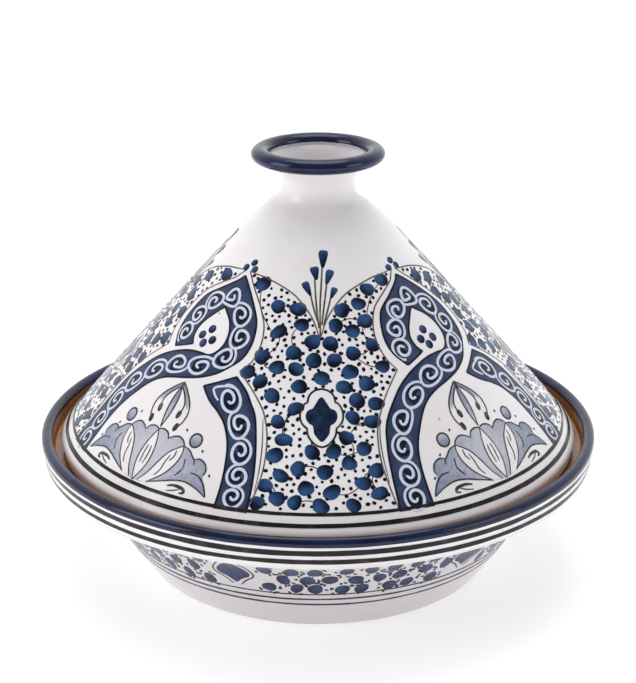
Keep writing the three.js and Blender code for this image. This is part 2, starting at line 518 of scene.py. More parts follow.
def turned(name, stretches, body):
    """A piece turned on the wheel: its outline is spun, and each stretch gets its glaze."""
    outline = []
    glazes = []
    for glaze, points in stretches:
        for point in points:
            if not outline or math.dist(point, outline[-1]) > 0.02:
                outline.append(point)
                glazes.append(glaze)
    bpy.ops.object.select_all(action="DESELECT")
    bpy.ops.mesh.primitive_circle_add(vertices=len(outline), radius=RIM_RADIUS * MM)
    piece = bpy.context.object
    piece.name = name
    for vertex, (radius, height) in zip(piece.data.vertices, outline):
        vertex.co = (radius * MM, 0, height * MM)
    bpy.ops.object.mode_set(mode="EDIT")
    bpy.ops.mesh.select_all(action="DESELECT")
    loop = bmesh.from_edit_mesh(piece.data)
    loop.edges.ensure_lookup_table()
    for edge in loop.edges:
        edge.select_set(all(vertex.co.x < 1e-6 for vertex in edge.verts))
    bpy.ops.mesh.delete(type="EDGE")
    bpy.ops.mesh.select_all(action="SELECT")
    bpy.ops.mesh.spin(steps=TURN_STEPS, angle=math.tau, center=(0, 0, 0), axis=(0, 0, 1))
    bpy.ops.mesh.select_all(action="SELECT")
    bpy.ops.mesh.remove_doubles(threshold=1e-6)
    bpy.ops.mesh.normals_make_consistent(inside=False)
    bpy.ops.object.mode_set(mode="OBJECT")
    glaze_faces(piece, outline, glazes)
    bpy.ops.object.shade_smooth_by_angle(angle=math.radians(40))
    settle(piece, body)
    return piece


def nearest(outline, radius, height):
    """The number of the outline's point at a place."""
    return min(range(len(outline)), key=lambda i: math.dist(outline[i], (radius, height)))


def glaze_faces(piece, outline, glazes):
    """Gives each face its glaze, lets the edges of the glazes wander, and charts the surface for painting."""
    names = sorted(set(glazes))
    for name in names:
        piece.data.materials.append(finish_of(name))
    known = {}
    numbers = []
    for vertex in piece.data.vertices:
        spot = (round(math.hypot(vertex.co.x, vertex.co.y) / MM, 3), round(vertex.co.z / MM, 3))
        if spot not in known:
            known[spot] = nearest(outline, *spot)
        numbers.append(known[spot])
    marks = [0.0]
    for a, b in zip(outline, outline[1:]):
        marks.append(marks[-1] + math.dist(a, b))
    chart = piece.data.uv_layers.new(name="OFBake")
    for face in piece.data.polygons:
        face.material_index = names.index(glazes[max(numbers[v] for v in face.vertices)])
        middle = math.atan2(face.center.y, face.center.x)
        for corner in face.loop_indices:
            vertex = piece.data.vertices[piece.data.loops[corner].vertex_index]
            on_axis = math.hypot(vertex.co.x, vertex.co.y) < 1e-6
            turn = middle if on_axis else math.atan2(vertex.co.y, vertex.co.x)
            reach = 0.5 * marks[numbers[vertex.index]] / marks[-1]
            chart.data[corner].uv = (0.5 + reach * math.cos(turn), 0.5 + reach * math.sin(turn))
    for vertex in piece.data.vertices:
        number = numbers[vertex.index]
        if 0 < number < len(outline) - 1 and glazes[number] != glazes[number + 1]:
            before, after = outline[number - 1], outline[number + 1]
            along = Vector((after[0] - before[0], after[1] - before[1])).normalized()
            radius = math.hypot(vertex.co.x, vertex.co.y)
            theta = math.degrees(math.atan2(vertex.co.y, vertex.co.x))
            shift = wander(theta, number, 0.18) * MM
            grow = 1 + shift * along.x / radius
            height = max(0, vertex.co.z + shift * along.y)
            vertex.co = (vertex.co.x * grow, vertex.co.y * grow, height)


def settle(piece, body):
    """The piece moves with its body."""
    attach(piece, body)


# ---------------------------------------------------------------- painting on a turned surface

class Wall:
    """A turned surface to paint on. A place is degrees round it and millimetres up its outline."""

    def __init__(self, outline):
        self.outline = outline
        self.marks = [0.0]
        for a, b in zip(outline, outline[1:]):
            self.marks.append(self.marks[-1] + math.dist(a, b))

    def station(self, along):
        """Radius, height and outward direction at a distance up the outline."""
        last = len(self.outline) - 2
        piece = next((i for i in range(last) if self.marks[i + 1] >= along), last)
        a, b = self.outline[piece], self.outline[piece + 1]
        size = self.marks[piece + 1] - self.marks[piece]
        t = (along - self.marks[piece]) / size
        run, rise = (b[0] - a[0]) / size, (b[1] - a[1]) / size
        return a[0] + (b[0] - a[0]) * t, a[1] + (b[1] - a[1]) * t, rise, -run

    def place(self, theta, along, lift):
        radius, height, out, up = self.station(along)
        radius += out * lift
        turn = math.radians(theta)
        return Vector((radius * math.sin(turn), -radius * math.cos(turn), height + up * lift)) * MM

    def off(self, spot, across, up):
        """The place some millimetres across and up from a spot."""
        along = spot[1] + up
        return (spot[0] + math.degrees(across / self.station(along)[0]), along)

    def gap(self, a, b):
        """Distance between two near places, in millimetres."""
        radius = self.station((a[1] + b[1]) / 2)[0]
        return math.hypot(math.radians(a[0] - b[0]) * radius, a[1] - b[1])

    def up_to(self, height):
        """How far up the outline a height is."""
        for i in range(len(self.outline) - 1):
            a, b = self.outline[i], self.outline[i + 1]
            if a[1] <= height <= b[1]:
                return self.marks[i] + (height - a[1]) / (b[1] - a[1]) * (self.marks[i + 1] - self.marks[i])
        raise ValueError("the surface doesn't reach this height")


CONE = Wall([(LID_RADIUS, CONE_FOOT), SHOULDER])
BOWL = Wall(bowl_outside())
COLLAR = Wall([(COLLAR_RADIUS, COLLAR_BOTTOM), (RIM_RADIUS, RIM_TOP - RIM_ROUND)])

SKIN = 0.1
WASH, GROUND, SCROLL, LINE = 0.05, 0.065, 0.085, 0.11


class Painting:
    """Brush strokes on a wall that share one paint and become one piece."""

    def __init__(self, wall, lift):
        self.wall = wall
        self.lift = lift
        self.points = []
        self.faces = []
        self.brush = []
        self.count = 0

    def sheet(self, one_edge, other_edge, columns=1, shade=0.5, level=None):
        """A patch between two edges with the same number of places. level is its tone, if that is even."""
        first = len(self.points)
        lift = self.lift + 0.002 * (self.count % 5)
        self.count += 1
        rows = len(one_edge)
        for row in range(rows):
            a, b = one_edge[row], other_edge[row]
            for column in range(columns + 1):
                t = column / columns
                theta, along = a[0] + (b[0] - a[0]) * t, a[1] + (b[1] - a[1]) * t
                self.points.append(self.wall.place(theta, along, lift))
                self.brush.append((row / (rows - 1) if level is None else level, abs(2 * t - 1), shade, 1))
        for row in range(rows - 1):
            for column in range(columns):
                corner = first + row * (columns + 1) + column
                self.faces.append((corner, corner + 1, corner + columns + 2, corner + columns + 1))

    def stroke(self, path, width, shade=0.5, taper=0.0):
        """A line along a path, as wide as given, thinning towards its ends by taper."""
        left, right = [], []
        last = len(path) - 1
        for i, spot in enumerate(path):
            a, b = path[max(i - 1, 0)], path[min(i + 1, last)]
            radius = self.wall.station(spot[1])[0]
            run, rise = math.radians(b[0] - a[0]) * radius, b[1] - a[1]
            size = math.hypot(run, rise) or 1
            thin = 1 - taper * (2 * i / last - 1) ** 2
            reach = width * thin / 2
            left.append(self.wall.off(spot, -rise / size * reach, run / size * reach))
            right.append(self.wall.off(spot, rise / size * reach, -run / size * reach))
        self.sheet(left, right, 1, shade)

    def blob(self, spot, half_width, half_height, lean=0.0, shape=None, shade=0.5, light=90.0, sides=14):
        """A dab of the brush round a spot. light is the side where its paint is thinnest, in degrees."""
        first = len(self.points)
        lift = self.lift + 0.002 * (self.count % 5)
        self.count += 1
        self.points.append(self.wall.place(*spot, lift))
        self.brush.append((0.5, 0, shade, 1))
        turn = math.radians(lean)
        for side in range(sides):
            angle = math.tau * side / sides
            reach = shape(angle) if shape else 1
            x, y = half_width * reach * math.cos(angle), half_height * reach * math.sin(angle)
            x, y = x * math.cos(turn) - y * math.sin(turn), x * math.sin(turn) + y * math.cos(turn)
            self.points.append(self.wall.place(*self.wall.off(spot, x, y), lift))
            self.brush.append((0.5 + 0.5 * math.cos(angle - math.radians(light)), 1, shade, 1))
        for side in range(sides):
            self.faces.append((first, first + 1 + side, first + 1 + (side + 1) % sides))

    def finish(self, name, paint, body, slot):
        """Makes the piece: faces outwards, a skin's thickness, a chart for its paint."""
        mesh = bpy.data.meshes.new(name)
        mesh.from_pydata(self.points, [], self.faces)
        brush = mesh.color_attributes.new("brush", "FLOAT_COLOR", "POINT")
        for mark, stroke in zip(brush.data, self.brush):
            mark.color = stroke
        patch = bmesh.new()
        patch.from_mesh(mesh)
        bmesh.ops.dissolve_degenerate(patch, dist=1e-7, edges=patch.edges[:])
        for face in patch.faces:
            face.normal_update()
            middle = face.calc_center_median()
            flare = -0.2 if self.wall is not CONE else 0.6
            if face.normal.dot(Vector((middle.x, middle.y, flare * Vector(middle.xy).length))) < 0:
                face.normal_flip()
        patch.to_mesh(mesh)
        patch.free()
        piece = bpy.data.objects.new(name, mesh)
        bpy.context.collection.objects.link(piece)
        mesh.materials.append(finish_of(paint))
        bpy.ops.object.select_all(action="DESELECT")
        bpy.context.view_layer.objects.active = piece
        piece.select_set(True)
        skin = piece.modifiers.new("skin", "SOLIDIFY")
        skin.thickness = SKIN * MM
        skin.offset = -1
        bpy.ops.object.modifier_apply(modifier=skin.name)
        bpy.ops.object.shade_smooth_by_angle(angle=math.radians(40))
        chart_from_above(piece)
        settle(piece, body)
        return piece


def chart_from_above(piece):
    """Charts a piece as it is seen from above, which shows every painted place once."""
    chart = piece.data.uv_layers.new(name="OFBake")
    reach = max(math.hypot(v.co.x, v.co.y) for v in piece.data.vertices)
    for loop, spot in zip(piece.data.loops, chart.data):
        place = piece.data.vertices[loop.vertex_index].co
        spot.uv = (0.5 + 0.5 * place.x / reach, 0.5 + 0.5 * place.y / reach)


def round_the_pot(first=0.0, last=360.0, step=1.25):
    count = round((last - first) / step)
    return [first + (last - first) * i / count for i in range(count + 1)]


def ring(painting, along, width, seed, sway=0.18):
    """A hand-drawn line all the way round."""
    low, high = [], []
    for theta in round_the_pot():
        low.append((theta, along - width / 2 + wander(theta, seed, sway)))
        high.append((theta, along + width / 2 + wander(theta, seed + 5, sway)))
    painting.sheet(low, high)


# ---------------------------------------------------------------- the arches

def at(centre, outline, side=1):
    """An outline moved to its place round the lid, mirrored where side is -1."""
    return [(centre + side * spot[0], spot[1]) for spot in outline]


def arch_centres():
    return [PANEL_TURN + ARCH_STEP * (k - 0.5) for k in range(ARCHES)]


def panel_centres():
    return [PANEL_TURN + ARCH_STEP * k for k in range(ARCHES)]


# Each place in an arch: degrees from the arch's middle, then millimetres up the cone.
# The long ribbon: up the left leg, over the crown, round the almond to its tip, and down to a cut end
LONG_LOWER = [(-21, 9), (-21.2, 27), (-20.3, 40), (-17.3, 52), (-13.5, 61), (-8.5, 66.3), (-2, 69.5),
              (4.2, 72.5), (9.5, 76.5), (13.5, 81.5), (17, 87), (18.6, 93), (19, 99), (18.3, 106),
              (16.2, 112), (11.4, 120), (5.7, 127), (1.3, 131)]
LONG_UPPER = [(-28.5, 9), (-28.6, 29), (-28.2, 43), (-26.6, 56), (-21.3, 69.5), (-16, 77), (-10.5, 81.5),
              (-5.5, 84), (-0.8, 84.8), (3.5, 85), (6.2, 88), (7.8, 93), (7.6, 99), (6, 104), (3.9, 107.2),
              (1.8, 109.4), (0.4, 110.8), (-0.6, 111.8)]
TAIL_OUTER = [(1.3, 131), (-1.3, 128), (-4.8, 125), (-10.1, 120.5), (-16, 115), (-18.5, 109.5), (-19.6, 102),
              (-19.5, 96), (-18, 89.5), (-14.3, 82.5)]
TAIL_INNER = [(-0.6, 111.8), (-1.4, 110.9), (-2.3, 109.9), (-3.6, 108), (-5.5, 105), (-7.2, 101.8),
              (-8.4, 98), (-8.6, 94.5), (-7.8, 90.6), (-6.2, 87.7)]
LEG_OUTER = [(29.2, 9), (29.4, 22), (29.1, 34), (28.2, 46), (26.6, 58), (24.3, 65), (21.8, 71), (17.4, 77.3)]
LEG_INNER = [(22.1, 9), (22.3, 21), (22, 31), (21, 42), (18.6, 51.5), (15.3, 57.5), (11.3, 62.3), (7.2, 68.8)]
LONG_SCROLLS = [(-24.6, 15), (-24.7, 27), (-24.3, 41), (-22.4, 55), (-16, 66.5), (-7.6, 75.2), (2.2, 78),
                (10.6, 86), (13.4, 98), (9.6, 110), (0.2, 118.6), (-9.2, 112.4), (-13.6, 102.3),
                (-13.9, 91.5)]
LEG_TAIL = [(19.6, 70.2), (16.8, 71.7), (13.4, 70.9), (11.2, 69), (12.2, 66), (14, 63.4)]
LEG_SCROLLS = [(25.6, 16.5), (25.6, 26.8), (24.9, 39.3), (22.8, 53), (17.6, 65)]
BORDER_RIGHT = [(28.9, 9), (29.5, 12.5), (30.5, 20), (31.2, 29), (31.4, 39), (30.8, 50), (29, 60), (26.3, 67),
                (22.8, 73.5), (18.6, 79.5), (17.7, 80.5)]
BORDER_RIGHT_SECOND = [(28.9, 58), (29.8, 48), (30.3, 39), (30.4, 29), (30.2, 20)]
BORDER_RIGHT_TOP = [(17.7, 80.5), (21, 86.5), (22.3, 93), (22.6, 99), (21.6, 106.5), (18.8, 113.5),
                    (14.9, 120), (6.7, 130), (3, 134)]
BORDER_LEFT = [(-28.5, 9), (-29.1, 14), (-29.9, 24), (-30.5, 34), (-30.5, 43), (-29.7, 53), (-27.8, 61),
               (-25.2, 68.8), (-21.8, 76), (-18.8, 81.3)]
BORDER_LEFT_SECOND = [(-28.5, 58), (-29.6, 48), (-29.9, 38), (-29.6, 24)]
BORDER_LEFT_TOP = [(-18.8, 81.3), (-21.5, 88), (-23, 95.5), (-23.2, 103), (-21.8, 110.5), (-18.8, 117),
                   (-12, 123.3), (-5, 128.5), (-1.5, 132.5), (0.5, 134.5)]
PANEL_TOP = [(3, 134), (7, 133.5), (14.2, 132.6), (19.2, 131.2), (24.2, 129.4), (29.2, 127), (34.2, 123.3),
             (39.2, 117), (42.2, 111.3), (44.7, 102.5)]
CROWN_DABS = [(3, 139), (-1.3, 135.5), (5.4, 135.5)]
ALMOND_DABS = [(-1, 98.5), (-4.3, 94), (1.7, 93), (-1.8, 90)]
# Half the width and height of the dabs and of a scroll's dark ground, in millimetres
CROWN_DAB = (2.1, 1.9)
ALMOND_DAB = (2.5, 2.4)
SCROLL_GROUND = (5, 5.2)
SCROLL_REACH = (5.2, 5.6)
SCROLL_TURNS = 1.7
SCROLL_EYE = 0.16


def scroll_path(below, spot, above, side, half_width):
    """One scroll of the vine: from the join above it, round by the join below, and in to its eye."""
    radius = CONE.station(spot[1])[0]
    above, below = (Vector((math.radians(p[0] - spot[0]) * radius, p[1] - spot[1])) for p in (above, below))
    middle, half = (above + below) / 2, (above - below) / 2
    right = Vector((half.y, -half.x)).normalized()
    path = []
    steps = 48
    for step in range(steps + 1):
        turn = SCROLL_TURNS * step / steps
        angle = math.radians(90 - 360 * turn)
        inward = max(0, turn - 0.5) / (SCROLL_TURNS - 0.5)
        reach = 1 - (1 - SCROLL_EYE) * inward ** 0.93
        wave = math.sin(angle)
        place = reach * (middle * wave ** 2 + half * wave + side * half_width * math.cos(angle) * right)
        path.append(CONE.off(spot, place.x, place.y))
    return path


def scroll_chain(painting, grounds, centre, spots, first_side, width, draw):
    """A vine of scrolls that curl to either side by turns, each on a darker ground."""
    first = tuple(2 * a - b for a, b in zip(spots[0], spots[1]))
    last = tuple(2 * a - b for a, b in zip(spots[-1], spots[-2]))
    chain = smooth(at(centre, [first] + spots + [last]), 2)
    for number in range(len(spots)):
        below, spot, above = chain[2 * number + 1:2 * number + 4]
        side = -first_side if number % 2 else first_side
        path = scroll_path(below, spot, above, side, draw.uniform(*SCROLL_REACH))
        painting.stroke(path, width, draw.random(), 0.25)
        grounds.blob(spot, *SCROLL_GROUND, 0, lumpy(draw), 0.2 * draw.random(), draw.uniform(0, 360), 18)


class TAGINE_OT_ribbons(bpy.types.Operator):
    """Paint the scrolled ribbons of the four arches, with their outlines and borders"""
    bl_idname = "tagine.ribbons"
    bl_label = "Ribbons"

    def execute(self, context):
        brush = context.scene.tagine_brush
        dark, fine, pale = brush.line / MM, brush.fine_line / MM, brush.scroll / MM
        draw = random.Random(11)
        fill, grounds, scrolls = Painting(CONE, WASH), Painting(CONE, GROUND), Painting(CONE, SCROLL)
        outlines, borders = Painting(CONE, LINE), Painting(CONE, LINE)
        dabs = Painting(CONE, SCROLL)
        ribbons = ((LONG_LOWER, LONG_UPPER), (TAIL_OUTER, TAIL_INNER), (LEG_OUTER, LEG_INNER))
        for centre in arch_centres():
            for one, other in ribbons:
                edges = [smooth(at(centre, line), 5) for line in (one, other)]
                fill.sheet(*edges, 6, 0.5, 0.5)
                for edge in edges:
                    outlines.stroke(edge, dark)
            for one, other in ribbons[1:]:
                outlines.stroke(resampled(at(centre, [one[-1], other[-1]]), 8), dark)
            scroll_chain(scrolls, grounds, centre, LONG_SCROLLS, -1, pale, draw)
            scroll_chain(scrolls, grounds, centre, LEG_SCROLLS, 1, pale, draw)
            scrolls.stroke(smooth(at(centre, LEG_TAIL), 6), 0.8 * pale, 0.5, 0.3)
            for line in (BORDER_RIGHT, BORDER_RIGHT_TOP, BORDER_LEFT, BORDER_LEFT_TOP):
                borders.stroke(smooth(at(centre, line), 6), fine, draw.random(), 0.2)
            for line in (BORDER_RIGHT_SECOND, BORDER_LEFT_SECOND):
                borders.stroke(smooth(at(centre, line), 6), 0.8 * fine, draw.random(), 0.6)
            for side in (-1, 1):
                borders.stroke(smooth(at(centre, PANEL_TOP, side), 6), fine, draw.random(), 0.2)
            for spots, half in ((CROWN_DABS, CROWN_DAB), (ALMOND_DABS, ALMOND_DAB)):
                for spot in at(centre, spots):
                    dabs.blob(spot, *half, draw.uniform(0, 90), None, draw.random())
        fill.finish("ribbons", "ribbon_blue", "lid", "lid_glaze")
        grounds.finish("scroll_grounds", "ground_blue", "lid", "lid_glaze")
        scrolls.finish("ribbon_scrolls", "scroll_white", "lid", "lid_glaze")
        outlines.finish("ribbon_outlines", "dot_black", "lid", "lid_glaze")
        borders.finish("border_lines", "fine_line", "lid", "lid_glaze")
        dabs.finish("crown_dabs", "leaf_blue", "lid", "lid_glaze")
        return {"FINISHED"}


# ---------------------------------------------------------------- the lotus under each arch

WASH_TOP = [(19.6, 13.6), (19, 18.5), (17.8, 22.5), (17.9, 26), (17.2, 30), (15.5, 31.7), (14.3, 30.4),
            (13.3, 31.5), (12, 34.5), (10, 36.3), (9, 38.3), (7.5, 40), (5.6, 39.2), (4.3, 37.5), (3.4, 40),
            (1.6, 41.2), (0, 40.5)]
WASH_FOOT = [(19.6, 13.6), (17.2, 16.6), (14, 18.8), (11, 18.2), (8, 16.2), (4, 13.2), (0, 11.5)]
SIDE_PETAL = ([(4, 13), (7.6, 19.8), (9.7, 27), (10.2, 33), (9.8, 36.3)],
              [(1.4, 12.4), (3.2, 18), (4.7, 25), (6.6, 31.5), (9.8, 36.3)])
MIDDLE_PETAL = ([(0, 11.5), (1.6, 20), (1.9, 27), (1.3, 34), (0, 40.3)],
                [(0, 11.5), (-1.6, 20), (-1.9, 27), (-1.3, 34), (0, 40.3)])
LOTUS_LINES = [
    [(0, 40.5), (1.6, 41.3), (3.4, 40.2), (4.3, 37.4)],
    [(4.3, 37.4), (5.6, 39.3), (7.5, 40.2), (9.2, 38.4), (9.9, 36.2)],
    [(9.8, 36.3), (11.8, 35), (13.1, 32.5), (14.2, 30.2), (14.4, 28)],
    [(14, 30.8), (15.5, 31.8), (17.2, 30), (18, 26.5), (17.6, 24.2)],
    [(14.4, 24), (16.6, 23.2), (18.4, 19.6), (19.4, 15.4), (19.7, 13.4)],
    [(19.6, 13.6), (17.2, 16.6), (14, 18.8), (11, 18.2), (8, 16.2), (4, 13.2)],
    [(7.2, 30), (6.6, 26), (6.2, 21), (5.2, 17.5)],
    [(8.4, 33), (8.3, 29.5), (7.5, 27)],
    [(0.5, 31), (0.7, 27), (0.5, 21)],
    [(11.6, 30), (11.9, 25), (10.6, 20.5)],
    SIDE_PETAL[0], SIDE_PETAL[1], MIDDLE_PETAL[0],
]
BUD_LINES = [
    [(0.2, 67.4), (2.6, 64), (5.4, 58.5), (6.6, 53), (6.2, 47.5), (4.9, 43.6)],
    [(0.3, 64.8), (2.7, 60.8), (4.2, 56), (3.9, 50.8)],
    [(0.3, 64.2), (1, 58), (0.9, 50), (0, 41.5)],
]
BUD_SHADE = [[(0.2, 67), (2.6, 64), (5.2, 59), (5.6, 54)], [(0.3, 64.8), (1.9, 62), (3.9, 58), (5.6, 54)]]
BUD_COMMAS = [(3.8, 50.8), (4.8, 44.1)]
LOTUS_DOTS = [(-9.5, 44.5), (-15, 33.5), (-18.4, 22.5), (8.7, 44.5), (15.4, 36), (19.2, 24.5)]
CORNER_CURL = [(9.8, 14.8), (11.6, 15.8), (13.8, 15.2), (14.4, 13.4), (13.4, 12.6)]
CORNER_LINE = [(10, 12.2), (12, 13.4), (13.2, 14.6)]
BUD_TIP = [(0, 67.8), (0.1, 66), (0.2, 63)]
BERRY = (12.5, 40.5)
BERRY_HALF = 3.4
BERRY_RIM = (3.5, 3.6)
# The lotus stands a little left of the arch's middle, in degrees
LOTUS_TURN = 0.3
CURL_WIDTH = 1.7
TIP_WIDTH = 1.9


class TAGINE_OT_lotuses(bpy.types.Operator):
    """Paint the lotus and its bud under each arch"""
    bl_idname = "tagine.lotuses"
    bl_label = "Lotuses"

    def execute(self, context):
        width = context.scene.tagine_brush.line / MM
        draw = random.Random(12)
        wash, white, lines = Painting(CONE, WASH), Painting(CONE, SCROLL), Painting(CONE, LINE)
        for arch in arch_centres():
            centre = arch - LOTUS_TURN
            white.sheet(*(smooth(at(centre, line)) for line in MIDDLE_PETAL), 2)
            for side in (-1, 1):
                def drawn(line, per_span=6):
                    return smooth(at(centre, line, side), per_span)

                wash.sheet(resampled(drawn(WASH_TOP, 5), 48), resampled(drawn(WASH_FOOT, 8), 48), 4,
                           draw.random())
                white.sheet(drawn(SIDE_PETAL[0]), drawn(SIDE_PETAL[1]), 3)
                for line in LOTUS_LINES:
                    lines.stroke(drawn(line), 0.85 * width, draw.random(), 0.3)
                wash.sheet(*(drawn(line) for line in BUD_SHADE), 1, 0.1)
                for line in BUD_LINES:
                    lines.stroke(drawn(line), 0.9 * width, draw.random(), 0.35)
                for spot in at(centre, BUD_COMMAS, side):
                    lines.blob(spot, 1.45, 2.5, -12 * side, None, draw.random())
                lines.stroke(drawn(CORNER_CURL), CURL_WIDTH, draw.random(), 0.6)
                lines.stroke(drawn(CORNER_LINE), 0.7 * width, draw.random(), 0.5)
                berry = at(centre, [BERRY], side)[0]
                wash.blob(berry, BERRY_HALF, BERRY_HALF, 0, None, 0.1)
                rim = [CONE.off(berry, BERRY_RIM[0] * math.cos(a), BERRY_RIM[1] * math.sin(a))
                       for a in steps_round(20)]
                lines.stroke(rim, width, draw.random())
            wash.sheet(smooth(at(centre, BUD_LINES[2])), smooth(at(centre, BUD_LINES[2], -1)), 2, 0.1)
            lines.stroke(smooth(at(centre, BUD_TIP)), TIP_WIDTH, 0.5, 0.7)
            for spot in at(centre, LOTUS_DOTS):
                lines.blob(spot, 0.6, 0.9, draw.uniform(-40, 40), None, 0.5, 0, 8)
        wash.finish("lotus_wash", "petal_wash", "lid", "lid_glaze")
        white.finish("lotus_petals", "white_glaze", "lid", "lid_glaze")
        lines.finish("lotus_lines", "petal_line", "lid", "lid_glaze")
        return {"FINISHED"}


def steps_round(count):
    """Angles all the way round, the first one again at the end."""
    return [math.tau * i / count for i in range(count + 1)]


# ---------------------------------------------------------------- the leaf panels between the arches

def level(line, value, key, want):
    """Where a line passes a value. key and want say which of a place's two numbers is which."""
    for a, b in zip(line, line[1:]):
        low, high = sorted((a[key], b[key]))
        if low <= value <= high:
            t = (value - a[key]) / (b[key] - a[key]) if b[key] != a[key] else 0
            return a[want] + (b[want] - a[want]) * t
    return None


RIGHT_EDGE = BORDER_RIGHT + BORDER_RIGHT_TOP[1:]
LEFT_EDGE = BORDER_LEFT + BORDER_LEFT_TOP[1:]
PANEL_FOOT = 11.2
MEDALLION = (0.2, 59.5)
MEDALLION_REACH = (10.8, 15.8)
LEAF_TRIES = 16000
DOT_TRIES = 14000


def in_panel(centre, spot):
    """True if a place is inside the leaf panel round this centre."""
    theta, along = spot[0] - centre, spot[1]
    if along < PANEL_FOOT or abs(theta) >= ARCH_STEP / 2:
        return False
    from_left, from_right = theta + ARCH_STEP / 2, ARCH_STEP / 2 - theta
    near = min(from_left, from_right)
    top = level(PANEL_TOP, near, 0, 1) if near >= PANEL_TOP[0][0] else 0
    if top is None:
        top = PANEL_TOP[-1][1]
    if along > top:
        return False
    left_line = level(RIGHT_EDGE, along, 1, 0)
    right_line = level(LEFT_EDGE, along, 1, 0)
    return left_line is not None and from_left > left_line and from_right > -right_line


def clear_of_edges(centre, spot, margin):
    """True if a round thing at a place stays inside the panel."""
    for angle in steps_round(10)[:-1]:
        if not in_panel(centre, CONE.off(spot, margin * math.cos(angle), margin * math.sin(angle))):
            return False
    return in_panel(centre, spot)


def off_medallion(centre, spot, margin):
    """True if a place is clear of the panel's medallion."""
    middle = (centre + MEDALLION[0], MEDALLION[1])
    radius = CONE.station(spot[1])[0]
    x, y = math.radians(spot[0] - middle[0]) * radius, spot[1] - middle[1]
    across, up = (reach + margin for reach in MEDALLION_REACH)
    return abs(x / across) ** 1.35 + abs(y / up) ** 1.35 > 1


def scatter(draw, count, step, allowed, others=(), apart=0.0):
    """Places at least step from each other, and apart from others, as thick as they go."""
    places = []
    for _ in range(count):
        spot = (draw.uniform(-ARCH_STEP / 2, ARCH_STEP / 2), draw.uniform(PANEL_FOOT, PANEL_TOP[0][1]))
        if not allowed(spot) or any(CONE.gap(spot, other) < step for other in places):
            continue
        if all(CONE.gap(spot, other) > apart for other in others):
            places.append(spot)
    return places


def bowed(start, end, bow):
    """A stem from one place to another that swings out to one side and back, by some millimetres."""
    radius = CONE.station(start[1])[0]
    run, rise = math.radians(end[0] - start[0]) * radius, end[1] - start[1]
    size = math.hypot(run, rise)
    path = []
    for step in range(13):
        t = step / 12
        swing = bow * math.sin(math.pi * t) * (1 - 0.5 * t)
        path.append(CONE.off(start, run * t - rise / size * swing, rise * t + run / size * swing))
    return path


def lumpy(draw):
    """A round outline with soft lumps."""
    turns = [draw.uniform(0, math.tau) for _ in range(3)]
    sizes = [draw.uniform(0.02, 0.08), draw.uniform(0.02, 0.07), draw.uniform(0, 0.04)]
    lumps = list(zip(sizes, turns, (2, 3, 5)))

    def shape(angle):
        return 1 + sum(size * math.sin(count * angle + turn) for size, turn, count in lumps)
    return shape


class TAGINE_OT_leaf_panels(bpy.types.Operator):
    """Fill the panels between the arches with leaves, stems and dots"""
    bl_idname = "tagine.leaf_panels"
    bl_label = "Leaf panels"

    def execute(self, context):
        brush = context.scene.tagine_brush
        leaves, stems, dots = Painting(CONE, SCROLL), Painting(CONE, WASH), Painting(CONE, LINE)
        half = brush.leaf / MM / 2
        for number, centre in enumerate(panel_centres()):
            draw = random.Random(40 + number)

            def leaf_fits(spot):
                return clear_of_edges(0, spot, 0.7 * half) and off_medallion(0, spot, 0.8 * half)

            def dot_fits(spot):
                return clear_of_edges(0, spot, 1.1) and off_medallion(0, spot, 0.8)

            spots = scatter(draw, LEAF_TRIES, brush.leaf_step / MM, leaf_fits)
            for spot in spots:
                place = (centre + spot[0], spot[1])
                leaves.blob(place, half * draw.uniform(0.86, 1.04), half * draw.uniform(0.78, 0.94),
                            draw.uniform(-40, 40), lumpy(draw), draw.random(), draw.uniform(60, 250))
                to = draw.choice(sorted(spots, key=lambda other: CONE.gap(spot, other))[2:6])
                if draw.random() < 0.45:
                    stem = at(centre, bowed(spot, to, draw.choice((-1, 1)) * draw.uniform(2.5, 4.5)))
                    stems.stroke(stem, 0.8 * brush.fine_line / MM, draw.random(), 0.3)
            marks = scatter(draw, DOT_TRIES, brush.dot_step / MM, dot_fits, spots, 0.98 * half)
            for spot in marks:
                size = brush.dot / MM / 2 * draw.uniform(0.8, 1.15)
                dots.blob((centre + spot[0], spot[1]), size, size * draw.uniform(1, 1.35),
                          draw.uniform(0, 180), None, draw.random(), 0, 6)
        leaves.finish("panel_leaves", "leaf_blue", "lid", "lid_glaze")
        stems.finish("panel_stems", "fine_line", "lid", "lid_glaze")
        dots.finish("panel_dots", "dot_black", "lid", "lid_glaze")
        return {"FINISHED"}


# Millimetres across and up from the medallion's middle, top to bottom
MEDALLION_RIM = [[(0, 15.2), (3, 14.4), (5.3, 12.6), (6.4, 10.5), (6.8, 8.3)],
                 [(6.6, 8.2), (8.5, 7), (10, 4.4), (10.7, 1.2), (10.2, -2), (8.8, -4.2), (7.2, -5.6)],
                 [(7.3, -5.4), (7.1, -7.5), (6.6, -9.6), (4.8, -12.4), (2.4, -14.4), (0, -15.1)]]
MEDALLION_FILL = [[(0, 11), (1.2, 10), (2.2, 8.4), (3.4, 6.4), (4.3, 4.9)],
                  [(4.3, 4.9), (6.6, 3.8), (7.7, 2), (7.8, 0), (7.3, -1.4), (6.2, -2.9), (4.4, -4)],
                  [(4.4, -4), (4.1, -5.6), (3.8, -8), (2.6, -10), (0.9, -12), (0, -12.3)]]
# Degrees from the middle of the panel, then millimetres up the cone
SPRIG_STEMS = [[(0.1, 102), (0.2, 120), (1, 132), (1.7, 141)], [(-0.4, 107), (-1.6, 120), (-2.6, 134)],
               [(-1, 111), (-2.9, 118.5), (-4.6, 126)], [(0.8, 109), (2.1, 120), (3.8, 131.5)],
               [(1.4, 108), (3.2, 115.5), (5.6, 124.5)]]
